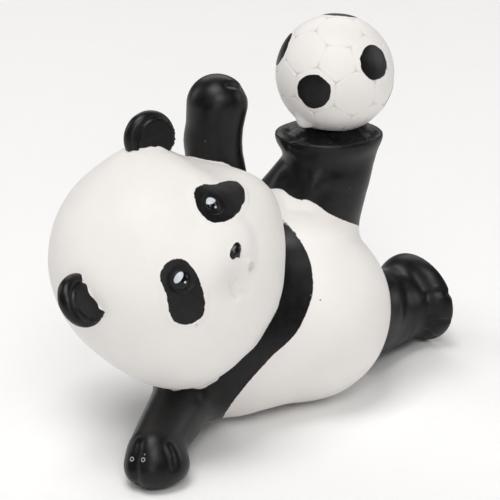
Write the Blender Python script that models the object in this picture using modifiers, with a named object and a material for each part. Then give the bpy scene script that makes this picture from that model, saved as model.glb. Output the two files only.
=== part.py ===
"""Panda figurine that lies on its right flank and holds a football up on one sole.

The panda and its ball are a single resin casting, so they are one closed solid.
The panda's head is toward -X, its legs toward +X, its belly toward -Y and its left
side up. The trunk, head and limbs are simple forms: a remesh joins them, and every
vertex is then moved onto the surface in which they blend into each other. The ears,
eyes, nose and ball are joined to that, and the grooves and the ground are cut from it.
"""

import bpy
import bmesh
import numpy as np
from math import radians
from mathutils import Matrix, Vector

MM = 0.001
UP = np.array([0.0, 0.0, 1.0])

# Trunk: a rounded rump and a chest, both pressed flat where they lie on the ground
RUMP_RADIUS = 21.3 * MM
RUMP_END = 19.6 * MM
RUMP_PLACE = (-2.7 * MM, -4.7 * MM)
CHEST_RADIUS = 20.1 * MM
CHEST_PLACE = (-21.7 * MM, -1.3 * MM)
WAIST_RADIUS = 20.45 * MM
FLANK_FLAT = 0.6 * MM

# Head: an ellipsoid with cheeks, tilted toward its left shoulder
HEAD_WIDTH = 50.2 * MM
HEAD_HEIGHT = 52.0 * MM
HEAD_DEPTH = 46.8 * MM
HEAD_CENTRE = np.array([-40.6, -4.3, 41.9]) * MM
HEAD_LEFT = (0.65, 0.27, 0.71)
HEAD_CROWN = (-0.73, 0.48, 0.49)
CHEEK_RADIUS = 13.5 * MM
CHEEK_OUT = 13.7 * MM
CHEEK_TURN_ANGLE = 87.0
CHEEK_RISE_ANGLE = -31.0
MUZZLE_RADII = np.array([7.2, 5.5, 3.6]) * MM
MUZZLE_RISE_ANGLE = -13.0
MUZZLE_SEAT_SHARE = 0.88
NOSE_RADII = np.array([1.45, 1.95, 0.9]) * MM
NOSE_RISE_ANGLE = -15.0
EYE_RADIUS = 2.0 * MM
EYE_TURN_ANGLE = 22.3
EYE_RISE_ANGLE = 2.8
EYE_PROUD = 0.45 * MM

# Ears: round plates that stand on the head and face forward
EAR_RADIUS = 5.9 * MM
EAR_THICKNESS = 3.8 * MM
EAR_TURN_ANGLE = 60.4
EAR_RISE_ANGLE = 35.5
EAR_LIFT = 2.2 * MM

# Propping right arm and its hand, palm on the ground
RIGHT_SHOULDER = np.array([-31.5, -2.5, 10.5]) * MM
RIGHT_WRIST = np.array([-56.3, -18.9, 7.0]) * MM
RIGHT_SHOULDER_RADIUS = 7.6 * MM
RIGHT_WRIST_RADIUS = 5.6 * MM
HAND_LENGTH = 11.6 * MM
HAND_WIDTH = 14.2 * MM
HAND_HEIGHT = 8.9 * MM
HAND_REACH = 1.85 * MM
HAND_SWING_DIRECTION = (0.55, -0.75, 0.0)
PALM_FLAT = 0.3 * MM

# Raised left arm, a plain column with a rounded mitten
LEFT_SHOULDER = np.array([-19.2, 3.6, 42.7]) * MM
LEFT_WRIST = np.array([-20.4, 4.6, 63.0]) * MM
LEFT_HAND = np.array([-19.6, 4.0, 71.3]) * MM
LEFT_SHOULDER_RADIUS = 7.9 * MM
LEFT_WRIST_RADIUS = 6.1 * MM
LEFT_HAND_RADIUS = 6.75 * MM

# Raised left leg with its calf and heel, whose sole is level and carries the ball
LEFT_THIGH = np.array([-1.3, 0.5, 35.9]) * MM
LEFT_ANKLE = np.array([4.2, -3.9, 52.0]) * MM
LEFT_THIGH_RADIUS = 14.1 * MM
LEFT_ANKLE_RADIUS = 9.4 * MM
LEFT_SOLE = np.array([5.6, -4.9, 61.7]) * MM
LEFT_TOE_TURN_ANGLE = 140.0
CALF_DROP = 22.6 * MM
CALF_RADIUS = 6.5 * MM
HEEL_BACK = 5.1 * MM
HEEL_DROP = 5.8 * MM
HEEL_RADIUS = 5.4 * MM

# Right leg, stretched along the ground, whose sole faces away from the body
RIGHT_THIGH = np.array([15.5, -0.5]) * MM
RIGHT_ANKLE = np.array([29.6, 0.3]) * MM
RIGHT_THIGH_RADIUS = 12.3 * MM
RIGHT_ANKLE_RADIUS = 9.6 * MM
RIGHT_ANKLE_LIFT = 0.3 * MM
RIGHT_SOLE_REACH = 40.3 * MM

# Feet: each is half an ellipsoid under its flat sole
FOOT_LENGTH = 24.4 * MM
FOOT_WIDTH = 20.3 * MM
RIGHT_FOOT_LENGTH = 25.2 * MM
RIGHT_FOOT_WIDTH = 21.4 * MM
FOOT_DEPTH = 7.2 * MM
FOOT_SEAT = 0.36 * MM
SOLE_EDGE = 0.7 * MM
FOOT_FLAT = 0.5 * MM

# Ball, sunk a little into the raised sole and set back from its middle
BALL_DIAMETER = 26.7 * MM
BALL_SINK = 0.7 * MM
BALL_OFFSET = np.array([3.3, 1.9]) * MM

# Grooves between the toes and between the fingers
GROOVE_LENGTH = 5.6 * MM
GROOVE_WIDTH = 1.0 * MM
GROOVE_DEPTH = 0.7 * MM
GROOVE_DROP = 1.95 * MM
TOE_GROOVE_ANGLES = (-24.0, 18.0)
FINGER_GROOVE_SHARES = (-0.42, 0.42)

# How softly the forms flow into each other
BODY_BLEND = 3.2 * MM
WAIST_BLEND = 2.6 * MM
ARMPIT_BLEND = 5.0 * MM
SHOULDER_BLEND = 1.6 * MM
HAND_BLEND = 2.6 * MM
FOOT_BLEND = 2.6 * MM
CHEEK_BLEND = 5.7 * MM
NECK_BLEND = 1.1 * MM
MUZZLE_BLEND = 4.0 * MM

# Mesh fineness
VOXEL = 0.75 * MM
PROBE = 0.0375 * MM
LEAST_STEEPNESS = 0.25
SETTLE_STEPS = 8
HALVINGS = 40
BODY_TRIANGLES = 6000
SPHERE_SEGMENTS = 48
BALL_SEGMENTS = 32
EAR_SEGMENTS = 24
FACE_SEGMENTS = 16
GROUND_MARGIN = 10.0 * MM

# Paints, and the black one's borders: planes with a normal and a distance along it
WHITE = (0.84, 0.83, 0.81)
WHITE_ROUGHNESS = 0.45
BLACK = (0.012, 0.012, 0.013)
BLACK_ROUGHNESS = 0.38
YOKE_PLANE = (np.array([-0.81, 0.0, 0.59]), 30.5 * MM)
LEFT_LEG_PLANE = (np.array([0.54, 0.0, 0.84]), 37.9 * MM)
RIGHT_LEG_PLANE = (np.array([1.0, 0.0, 0.0]), 15.5 * MM)


def unit(vector):
    vector = np.asarray(vector, dtype=float)
    return vector / np.linalg.norm(vector)


def axes_from(first, second):
    """Three perpendicular unit axes as columns, the first two near those given."""
    first = unit(first)
    second = unit(np.asarray(second) - first * np.dot(first, second))
    return np.stack([first, second, np.cross(first, second)], axis=1)


def place_matrix(centre, axes, scale):
    """Blender matrix for a unit primitive at centre, turned to axes and scaled."""
    matrix = Matrix([list(row) for row in axes * np.asarray(scale)])
    return Matrix.Translation(Vector(centre)) @ matrix.to_4x4()


class Ellipsoid:
    """Ellipsoid with its own axes, cut off flat beyond an optional plane."""

    def __init__(self, centre, radii, axes=np.eye(3), flat=None, edge=SOLE_EDGE):
        self.centre = np.asarray(centre, dtype=float)
        self.radii = np.asarray(radii, dtype=float)
        self.axes = axes
        self.flat = flat
        self.edge = edge

    def distance(self, points):
        local = (points - self.centre) @ self.axes
        near = np.linalg.norm(local / self.radii, axis=1)
        slope = np.linalg.norm(local / self.radii ** 2, axis=1)
        value = near * (near - 1.0) / np.maximum(slope, 1e-6)
        if self.flat is not None:
            point, normal = self.flat
            value = blend_cut(value, (points - point) @ normal, self.edge)
        return value

    def add_to(self, bm, segments):
        made = bmesh.ops.create_uvsphere(bm, u_segments=segments, v_segments=segments // 2, radius=1.0,
                                         matrix=place_matrix(self.centre, self.axes, self.radii))
        if self.flat is not None:
            point, normal = self.flat
            for vert in made["verts"]:
                over = (np.array(vert.co) - point) @ normal
                vert.co -= Vector(normal * max(over, 0.0))


class Limb:
    """Tapered limb with a round end at each of its two points."""

    def __init__(self, start, end, start_radius, end_radius):
        self.start = np.asarray(start, dtype=float)
        self.end = np.asarray(end, dtype=float)
        self.start_radius = start_radius
        self.end_radius = end_radius

    def distance(self, points):
        along = self.end - self.start
        share = np.clip((points - self.start) @ along / (along @ along), 0.0, 1.0)
        radius = self.start_radius + (self.end_radius - self.start_radius) * share
        nearest = self.start + share[:, None] * along
        return np.linalg.norm(points - nearest, axis=1) - radius

    def add_to(self, bm, segments):
        for centre, radius in ((self.start, self.start_radius), (self.end, self.end_radius)):
            bmesh.ops.create_uvsphere(bm, u_segments=segments, v_segments=segments // 2,
                                      radius=radius, matrix=Matrix.Translation(Vector(centre)))
        along = Vector(self.end - self.start)
        turn = along.to_track_quat("Z", "Y").to_matrix().to_4x4()
        middle = Matrix.Translation(Vector((self.start + self.end) / 2))
        bmesh.ops.create_cone(bm, cap_ends=True, segments=segments, radius1=self.start_radius,
                              radius2=self.end_radius, depth=along.length, matrix=middle @ turn)


def blend_join(first, second, reach):
    """Union of two distances, rounded where they come within reach of each other."""
    near = np.maximum(reach - np.abs(first - second), 0.0) / reach
    return np.minimum(first, second) - near * near * reach / 4


def blend_cut(first, second, reach):
    """Intersection of two distances with a rounded edge."""
    return -blend_join(-first, -second, reach)


HEAD_AXES = axes_from(HEAD_LEFT, HEAD_CROWN)
HEAD_RADII = np.array([HEAD_WIDTH, HEAD_HEIGHT, HEAD_DEPTH]) / 2


def head_direction(turn, rise):
    """Direction from the head's centre: turn goes left from the face, rise goes up."""
    turn, rise = radians(turn), radians(rise)
    local = np.array([np.sin(turn) * np.cos(rise), np.sin(rise), np.cos(turn) * np.cos(rise)])
    return HEAD_AXES @ local


def head_point(turn, rise, share=1.0, out=0.0):
    """Point on the head's ellipsoid in that direction, scaled by share or moved out."""
    direction = head_direction(turn, rise)
    reach = 1.0 / np.linalg.norm((HEAD_AXES.T @ direction) / HEAD_RADII)
    return HEAD_CENTRE + direction * (reach * share + out)


def trunk_forms():
    rump = np.array([*RUMP_PLACE, RUMP_RADIUS - FLANK_FLAT])
    chest = np.array([*CHEST_PLACE, CHEST_RADIUS - FLANK_FLAT / 2])
    return [(Ellipsoid(rump, (RUMP_END, RUMP_RADIUS, RUMP_RADIUS)), BODY_BLEND),
            (Limb(rump, chest, WAIST_RADIUS, CHEST_RADIUS), WAIST_BLEND)]


def head_forms():
    forms = [(Ellipsoid(HEAD_CENTRE, HEAD_RADII, HEAD_AXES), NECK_BLEND)]
    for side in (1, -1):
        cheek = HEAD_CENTRE + head_direction(side * CHEEK_TURN_ANGLE, CHEEK_RISE_ANGLE) * CHEEK_OUT
        forms.append((Ellipsoid(cheek, [CHEEK_RADIUS] * 3), CHEEK_BLEND))
    muzzle = head_point(0.0, MUZZLE_RISE_ANGLE, MUZZLE_SEAT_SHARE)
    forms.append((Ellipsoid(muzzle, MUZZLE_RADII, HEAD_AXES), MUZZLE_BLEND))
    return forms


def ear_forms():
    forms = []
    forward = HEAD_AXES[:, 2]
    for side in (1, -1):
        outward = head_direction(side * EAR_TURN_ANGLE, EAR_RISE_ANGLE)
        facing = unit(forward - outward * (forward @ outward))
        centre = head_point(side * EAR_TURN_ANGLE, EAR_RISE_ANGLE, out=EAR_LIFT)
        radii = (EAR_RADIUS, EAR_RADIUS, EAR_THICKNESS / 2)
        forms.append(Ellipsoid(centre, radii, axes_from(outward, np.cross(facing, outward))))
    return forms


def face_forms():
    """Nose and eyes, seated on the blended head by the forms that make it."""
    forms = []
    for side in (1, -1):
        direction = head_direction(side * EYE_TURN_ANGLE, EYE_RISE_ANGLE)
        seat = surface_along(head_forms(), HEAD_CENTRE, direction)
        forms.append(Ellipsoid(seat - direction * (EYE_RADIUS - EYE_PROUD), [EYE_RADIUS] * 3))
    direction = head_direction(0.0, NOSE_RISE_ANGLE)
    nose = surface_along(head_forms(), HEAD_CENTRE, direction)
    forms.append(Ellipsoid(nose, NOSE_RADII, HEAD_AXES))
    return forms


def hand_centre():
    """Middle of the right palm, past the wrist and resting on the ground."""
    reach = unit((RIGHT_WRIST - RIGHT_SHOULDER) * (1, 1, 0))
    ahead = unit(reach + HAND_SWING_DIRECTION)
    centre = RIGHT_WRIST + ahead * HAND_REACH
    centre[2] = HAND_HEIGHT / 2 - PALM_FLAT
    return centre, axes_from(ahead, UP)


def arm_forms():
    hand, hand_axes = hand_centre()
    radii = np.array([HAND_LENGTH, HAND_HEIGHT, HAND_WIDTH]) / 2
    return [(Limb(RIGHT_SHOULDER, RIGHT_WRIST, RIGHT_SHOULDER_RADIUS, RIGHT_WRIST_RADIUS), ARMPIT_BLEND),
            (Ellipsoid(hand, radii, hand_axes), HAND_BLEND),
            (Limb(LEFT_SHOULDER, LEFT_WRIST, LEFT_SHOULDER_RADIUS, LEFT_WRIST_RADIUS), SHOULDER_BLEND),
            (Limb(LEFT_WRIST, LEFT_HAND, LEFT_WRIST_RADIUS, LEFT_HAND_RADIUS), SHOULDER_BLEND)]


def left_sole():
    """Middle of the raised sole and its axes: toe direction, width, outward normal."""
    turn = radians(LEFT_TOE_TURN_ANGLE)
    toes = np.array([np.cos(turn), np.sin(turn), 0.0])
    return LEFT_SOLE, axes_from(toes, np.cross(UP, toes))


def right_sole():
    """Middle of the lower sole and its axes: toe direction, width, outward normal."""
    middle = np.array([RIGHT_SOLE_REACH, RIGHT_ANKLE[1], RIGHT_FOOT_WIDTH / 2 - FOOT_FLAT])
    return middle, axes_from((0, -1, 0), (0, 0, -1))


def foot_form(sole, length, width):
    middle, axes = sole
    normal = axes[:, 2]
    return Ellipsoid(middle - normal * FOOT_SEAT, (length / 2, width / 2, FOOT_DEPTH), axes,
                     flat=(middle, normal))


def leg_forms():
    middle, axes = left_sole()
    calf = middle - UP * CALF_DROP
    heel = middle - axes[:, 0] * HEEL_BACK - UP * HEEL_DROP
    thigh = np.array([*RIGHT_THIGH, RIGHT_THIGH_RADIUS])
    ankle = np.array([*RIGHT_ANKLE, RIGHT_ANKLE_RADIUS + RIGHT_ANKLE_LIFT])
    return [(Limb(LEFT_THIGH, LEFT_ANKLE, LEFT_THIGH_RADIUS, LEFT_ANKLE_RADIUS), BODY_BLEND),
            (Limb(calf, heel, CALF_RADIUS, HEEL_RADIUS), BODY_BLEND),
            (foot_form(left_sole(), FOOT_LENGTH, FOOT_WIDTH), FOOT_BLEND),
            (Limb(thigh, ankle, RIGHT_THIGH_RADIUS, RIGHT_ANKLE_RADIUS), BODY_BLEND),
            (foot_form(right_sole(), RIGHT_FOOT_LENGTH, RIGHT_FOOT_WIDTH), FOOT_BLEND)]


def ball_form():
    sole, axes = left_sole()
    radius = BALL_DIAMETER / 2
    centre = sole + np.array([*BALL_OFFSET, radius - BALL_SINK])
    return Ellipsoid(centre, [radius] * 3)


def groove_forms():
    """Slender ellipsoids that cut the gaps between toes and between fingers."""
    cuts = []
    long_radius = GROOVE_LENGTH / 2
    radii = (GROOVE_DEPTH, GROOVE_WIDTH / 2, long_radius)
    for (centre, axes), length, width in ((left_sole(), FOOT_LENGTH, FOOT_WIDTH),
                                          (right_sole(), RIGHT_FOOT_LENGTH, RIGHT_FOOT_WIDTH)):
        toe, side, normal = axes.T
        for turn in TOE_GROOVE_ANGLES:
            outward = toe * np.cos(radians(turn)) + side * np.sin(radians(turn))
            along = np.array([outward @ toe / length, outward @ side / width])
            rim = centre + outward / (2 * np.linalg.norm(along)) - normal * GROOVE_DROP
            cuts.append(Ellipsoid(rim, radii, axes_from(outward, np.cross(normal, outward))))
    hand, axes = hand_centre()
    ahead, up, side = axes.T
    slope = unit(ahead + up)
    for share in FINGER_GROOVE_SHARES:
        knuckle = hand + side * share * HAND_WIDTH / 2
        knuckle = surface_along(arm_forms()[:2], knuckle, slope)
        cuts.append(Ellipsoid(knuckle, radii, axes_from(slope, side)))
    return cuts


def blended(forms, points):
    """Distance to the union of the forms, each blended into those before it."""
    value = forms[0][0].distance(points)
    for form, reach in forms[1:]:
        value = blend_join(value, form.distance(points), reach)
    return value


def surface_along(forms, start, direction):
    """Point where a ray that leaves start inside the forms comes out of them."""
    near, far = 0.0, HEAD_HEIGHT
    for _ in range(HALVINGS):
        middle = (near + far) / 2
        inside = blended(forms, (start + direction * middle)[None])[0] < 0
        near, far = (middle, far) if inside else (near, middle)
    return start + direction * near


def figure_forms():
    return trunk_forms() + leg_forms() + arm_forms() + head_forms()


def settle(mesh, forms):
    """Move every vertex along the distance's slope until it is on the blended surface."""
    points = np.empty(len(mesh.vertices) * 3)
    mesh.vertices.foreach_get("co", points)
    points = points.reshape(-1, 3)
    for _ in range(SETTLE_STEPS):
        value = blended(forms, points)
        slope = np.stack([blended(forms, points + offset) - value
                          for offset in np.eye(3) * PROBE], axis=1) / PROBE
        steep = np.maximum(np.sum(slope * slope, axis=1), LEAST_STEEPNESS)
        step = np.clip(value / steep, -VOXEL, VOXEL)
        points -= slope * step[:, None]
    mesh.vertices.foreach_set("co", points.ravel())
    mesh.update()


def remeshed(mesh, collection):
    """The mesh's joined outside as one even voxel mesh."""
    obj = bpy.data.objects.new("joined_forms", mesh)
    collection.objects.link(obj)
    remesh = obj.modifiers.new("join", "REMESH")
    remesh.mode = "VOXEL"
    remesh.voxel_size = VOXEL
    bpy.context.view_layer.update()
    evaluated = obj.evaluated_get(bpy.context.evaluated_depsgraph_get())
    result = bpy.data.meshes.new_from_object(evaluated)
    bpy.data.objects.remove(obj)
    return result


def paint(name, colour, roughness):
    material = bpy.data.materials.new(name)
    material.use_nodes = True
    shader = material.node_tree.nodes["Principled BSDF"]
    shader.inputs["Base Color"].default_value = (*colour, 1.0)
    shader.inputs["Roughness"].default_value = roughness
    return material


def black_mask(points):
    """True for the points where the black paint of limbs and yoke lies."""
    black = np.zeros(len(points), dtype=bool)
    for normal, distance in (YOKE_PLANE, LEFT_LEG_PLANE, RIGHT_LEG_PLANE):
        black |= points @ normal > distance
    return black & (blended(head_forms(), points) > NECK_BLEND)


def floor_box(mesh):
    """Box under the ground that trims the flank, the palm and the foot flat."""
    corners = np.array([vert.co for vert in mesh.vertices])
    lows, highs = corners.min(axis=0), corners.max(axis=0)
    size = np.array([*(highs - lows)[:2] + 2 * GROUND_MARGIN, RUMP_RADIUS])
    middle = np.array([*(highs + lows)[:2] / 2, -RUMP_RADIUS / 2])
    bm = bmesh.new()
    bmesh.ops.create_cube(bm, size=1.0, matrix=place_matrix(middle, np.eye(3), size))
    return bm


def form_bodies(forms, segments):
    bm = bmesh.new()
    for form in forms:
        form.add_to(bm, segments)
    return bm


def new_object(name, bm, paints, paint_index, collection):
    mesh = bpy.data.meshes.new(name)
    bm.to_mesh(mesh)
    bm.free()
    for material in paints:
        mesh.materials.append(material)
    for polygon in mesh.polygons:
        polygon.material_index = paint_index
    mesh.shade_smooth()
    obj = bpy.data.objects.new(name, mesh)
    collection.objects.link(obj)
    return obj


def add_boolean(obj, tool, operation):
    """Join the tool to the object or cut it away, and leave the tool as a guide."""
    tool.hide_render = True
    tool.display_type = "WIRE"
    boolean = obj.modifiers.new(tool.name, "BOOLEAN")
    boolean.operation = operation
    boolean.solver = "EXACT"
    boolean.object = tool


def main():
    for obj in list(bpy.data.objects):
        bpy.data.objects.remove(obj)
    figure = bpy.data.collections.new("panda_figurine")
    guides = bpy.data.collections.new("cutters")
    for collection in (figure, guides):
        bpy.context.scene.collection.children.link(collection)
    paints = (paint("white_paint", WHITE, WHITE_ROUGHNESS), paint("black_paint", BLACK, BLACK_ROUGHNESS))

    forms = figure_forms()
    joined = bpy.data.meshes.new("joined_forms")
    bm = form_bodies([form for form, _ in forms], SPHERE_SEGMENTS)
    bm.to_mesh(joined)
    bm.free()
    mesh = remeshed(joined, figure)
    mesh.name = "panda_figurine"
    settle(mesh, forms)
    mesh.materials.clear()
    for material in paints:
        mesh.materials.append(material)
    centres = np.array([polygon.center for polygon in mesh.polygons])
    mesh.polygons.foreach_set("material_index", black_mask(centres).astype(np.int32))
    mesh.shade_smooth()

    obj = bpy.data.objects.new("panda_figurine", mesh)
    figure.objects.link(obj)
    thin = obj.modifiers.new("fewer_faces", "DECIMATE")
    thin.ratio = BODY_TRIANGLES / sum(len(polygon.vertices) - 2 for polygon in mesh.polygons)
    tools = []
    for name, made, segments, paint_index, operation in (
            ("ball", [ball_form()], BALL_SEGMENTS, 0, "UNION"),
            ("ears", ear_forms(), EAR_SEGMENTS, 1, "UNION"),
            ("face", face_forms(), FACE_SEGMENTS, 1, "UNION"),
            ("grooves", groove_forms(), FACE_SEGMENTS, 1, "DIFFERENCE")):
        tools.append((new_object(name, form_bodies(made, segments), paints, paint_index, guides), operation))
    tools.append((new_object("ground", floor_box(mesh), paints, 1, guides), "DIFFERENCE"))
    for tool, operation in tools:
        add_boolean(obj, tool, operation)

    # The origin goes on the ground under the middle of the figure
    bpy.context.view_layer.update()
    evaluated = obj.evaluated_get(bpy.context.evaluated_depsgraph_get())
    corners = np.array([vert.co for vert in evaluated.data.vertices])
    middle = (corners.min(axis=0) + corners.max(axis=0)) / 2
    for part in [obj] + [tool for tool, _ in tools]:
        part.location = (-middle[0], -middle[1], 0.0)


main()
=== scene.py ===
"""Looks of the panda figurine: fine relief, brushed-on paints and the studio.

The figurine is one resin casting. Its looks are three meshes that replace the node: the
body, the head and the football. They follow the part's own forms, with finer relief.
"""

from math import radians, sqrt

import bmesh
import bpy
import numpy as np
from mathutils import Matrix, Vector


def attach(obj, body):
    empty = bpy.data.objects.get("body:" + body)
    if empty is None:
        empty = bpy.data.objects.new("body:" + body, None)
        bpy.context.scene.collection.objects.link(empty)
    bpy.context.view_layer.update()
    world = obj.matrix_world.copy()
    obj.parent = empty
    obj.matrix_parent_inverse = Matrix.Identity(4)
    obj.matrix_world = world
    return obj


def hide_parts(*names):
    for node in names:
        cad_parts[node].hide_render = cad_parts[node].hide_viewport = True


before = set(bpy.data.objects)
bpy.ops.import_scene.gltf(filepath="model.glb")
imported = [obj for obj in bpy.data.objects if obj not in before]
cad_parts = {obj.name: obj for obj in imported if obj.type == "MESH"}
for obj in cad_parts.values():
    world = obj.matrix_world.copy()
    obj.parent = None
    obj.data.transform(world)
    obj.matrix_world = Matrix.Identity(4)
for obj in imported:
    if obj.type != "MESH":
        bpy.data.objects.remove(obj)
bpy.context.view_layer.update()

MM = 0.001
UP = np.array([0.0, 0.0, 1.0])

# The part's forms, as in its source

# Trunk: a rounded rump and a chest, both pressed flat where they lie on the ground
RUMP_RADIUS = 21.3 * MM
RUMP_END = 19.6 * MM
RUMP_PLACE = (-2.7 * MM, -4.7 * MM)
CHEST_RADIUS = 20.1 * MM
CHEST_PLACE = (-21.7 * MM, -1.3 * MM)
WAIST_RADIUS = 20.45 * MM
FLANK_FLAT = 0.6 * MM

# Head: an ellipsoid with cheeks, tilted toward its left shoulder
HEAD_WIDTH = 50.2 * MM
HEAD_HEIGHT = 52.0 * MM
HEAD_DEPTH = 46.8 * MM
HEAD_CENTRE = np.array([-40.6, -4.3, 41.9]) * MM
HEAD_LEFT = (0.65, 0.27, 0.71)
HEAD_CROWN = (-0.73, 0.48, 0.49)
CHEEK_RADIUS = 13.5 * MM
CHEEK_OUT = 13.7 * MM
CHEEK_TURN_ANGLE = 87.0
CHEEK_RISE_ANGLE = -31.0
MUZZLE_RADII = np.array([7.2, 5.5, 3.6]) * MM
MUZZLE_RISE_ANGLE = -13.0
MUZZLE_SEAT_SHARE = 0.88

# Ears: round plates that stand on the head and face forward
EAR_RADIUS = 5.9 * MM
EAR_THICKNESS = 3.8 * MM
EAR_TURN_ANGLE = 60.4
EAR_RISE_ANGLE = 35.5
EAR_LIFT = 2.2 * MM

# Propping right arm and its hand, palm on the ground
RIGHT_SHOULDER = np.array([-31.5, -2.5, 10.5]) * MM
RIGHT_WRIST = np.array([-56.3, -18.9, 7.0]) * MM
RIGHT_SHOULDER_RADIUS = 7.6 * MM
RIGHT_WRIST_RADIUS = 5.6 * MM
HAND_LENGTH = 11.6 * MM
HAND_WIDTH = 14.2 * MM
HAND_HEIGHT = 8.9 * MM
HAND_REACH = 1.85 * MM
HAND_SWING_DIRECTION = (0.55, -0.75, 0.0)
PALM_FLAT = 0.3 * MM

# Raised left arm, a plain column with a rounded mitten
LEFT_SHOULDER = np.array([-19.2, 3.6, 42.7]) * MM
LEFT_WRIST = np.array([-20.4, 4.6, 63.0]) * MM
LEFT_HAND = np.array([-19.6, 4.0, 71.3]) * MM
LEFT_SHOULDER_RADIUS = 7.9 * MM
LEFT_WRIST_RADIUS = 6.1 * MM
LEFT_HAND_RADIUS = 6.75 * MM

# Raised left leg with its calf and heel, whose sole is level and carries the ball
LEFT_THIGH = np.array([-1.3, 0.5, 35.9]) * MM
LEFT_ANKLE = np.array([4.2, -3.9, 52.0]) * MM
LEFT_THIGH_RADIUS = 14.1 * MM
LEFT_ANKLE_RADIUS = 9.4 * MM
LEFT_SOLE = np.array([5.6, -4.9, 61.7]) * MM
LEFT_TOE_TURN_ANGLE = 140.0
CALF_DROP = 22.6 * MM
CALF_RADIUS = 6.5 * MM
HEEL_BACK = 5.1 * MM
HEEL_DROP = 5.8 * MM
HEEL_RADIUS = 5.4 * MM

# Right leg, stretched along the ground, whose sole faces away from the body
RIGHT_THIGH = np.array([15.5, -0.5]) * MM
RIGHT_ANKLE = np.array([29.6, 0.3]) * MM
RIGHT_THIGH_RADIUS = 12.3 * MM
RIGHT_ANKLE_RADIUS = 9.6 * MM
RIGHT_ANKLE_LIFT = 0.3 * MM
RIGHT_SOLE_REACH = 40.3 * MM

# Feet: each is half an ellipsoid under its flat sole
FOOT_LENGTH = 24.4 * MM
FOOT_WIDTH = 20.3 * MM
RIGHT_FOOT_LENGTH = 25.2 * MM
RIGHT_FOOT_WIDTH = 21.4 * MM
FOOT_DEPTH = 7.2 * MM
FOOT_SEAT = 0.36 * MM
SOLE_EDGE = 0.7 * MM
FOOT_FLAT = 0.5 * MM

# Ball, sunk a little into the raised sole and set back from its middle
BALL_RADIUS = 26.7 * MM / 2
BALL_SINK = 0.7 * MM
BALL_OFFSET = np.array([3.3, 1.9]) * MM

# From the forms' own frame to the part's, whose origin is under the middle of its box
SHIFT = np.array([16.104, 4.534, 0.0]) * MM

# How softly the forms flow into each other
BODY_BLEND = 3.2 * MM
WAIST_BLEND = 2.6 * MM
ARMPIT_BLEND = 5.0 * MM
SHOULDER_BLEND = 1.6 * MM
HAND_BLEND = 2.6 * MM
FOOT_BLEND = 2.6 * MM
CHEEK_BLEND = 5.7 * MM
NECK_BLEND = 1.1 * MM
MUZZLE_BLEND = 4.0 * MM

# Ears beyond the part's plain plates: how far each is moved outward and toward the crown,
# the collars round their feet, and their flat pads

EAR_SHIFTS = np.array([(0.8, 0.0), (0.8, 1.3)]) * MM
EAR_COLLAR = 2.3 * MM
EAR_COLLAR_WIDTH = 14.5 * MM
EAR_COLLAR_OFF = 1.6 * MM
EAR_PAD_RADIUS = 4.4 * MM
EAR_PAD_OFF = 1.2 * MM
EAR_PAD_PROUD = 0.15 * MM
EAR_PAD_EDGE = 0.6 * MM

# Mesh fineness

BODY_VOXEL = 0.46 * MM
HEAD_VOXEL = 0.42 * MM
EAR_VOXEL = 0.2 * MM
BALL_GRID = 120
EYE_GRID = 24
EYE_SINK = 1.25 * MM
SETTLE_STEPS = 8
SPHERE_SEGMENTS = 64

# The camera that took the photograph, and the photograph's size in pixels

EYE = np.array([-319.48, -364.66, 228.66]) * MM
TARGET = np.array([-21.85, -9.95, 41.58]) * MM
FOCAL_PIXELS = 2270.0
PHOTO_SIZE = 500
SENSOR = 36.0
PIXEL = 0.22 * MM
RAY_SPAN = 100 * MM
RAY_STEPS = 140
RAY_SHARE = 0.8
MARK_SEARCH = 2.5

# Places in the photograph, in its pixels

# Temples, one flatter and one fuller: pixel, height and width in millimetres
TEMPLES = (((210, 156), -2.8, 22.0), ((266, 186), 0.8, 14.0))
LEFT_PATCH = ((203, 185), (211, 185.5), (216, 184.5), (221.5, 182.5), (233, 181.5), (239, 184),
              (244, 191), (244.5, 199), (240, 210), (232, 218.5), (222, 222.5), (212, 222.5),
              (203, 216.5), (197, 207.5), (194.2, 196), (196, 188))
RIGHT_PATCH = ((176, 258.7), (185, 260.5), (193, 268), (199, 279.5), (203.5, 293), (204.6, 304),
               (203, 314), (196, 321), (187, 324), (176.5, 322), (170.5, 315), (167.5, 303),
               (166, 292), (160.5, 281.5), (161, 271), (167, 262.5))

# Eyes: pixel and radii of the dome in millimetres, then the painted shine's pixel, radii in
# pixels and turn in degrees, and the painted dot's pixel
EYES = (((212.4, 204.6), (1.85, 2.2, 2.0), (209.6, 199.4), (6.2, 5.0), -10, (215.6, 207.2)),
        ((181.2, 280.4), (2.15, 2.35, 2.1), (178.6, 277.5), (3.6, 6.6), 35, (185.2, 282.2)))
DOT_RADIUS = 1.2

RINGED_PINHOLES = ((131.5, 459), (142.8, 459.6))
PINHOLES = ((216.5, 111), (151, 461), (280, 187), (320.5, 300), (196.5, 325))
SPECKS = ((144.4, 454.4), (418, 272), (402, 273.6), (413, 258), (418, 291.5), (205, 141.5),
          (239.5, 151.5), (311.3, 295), (346.5, 187.8), (348.5, 188.3), (350.6, 188.8),
          (178, 422.2), (180, 421), (181.8, 420.2))
NOSE = ((237.2, 242), (240, 244.5), (241.2, 248.5), (240.8, 254), (240, 257.5), (237.4, 257.6),
        (236, 257.4), (234.6, 259.6), (231, 258.4), (229.6, 254), (231, 249), (234, 244))
DIMPLE = (251.8, 266.8)

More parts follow.
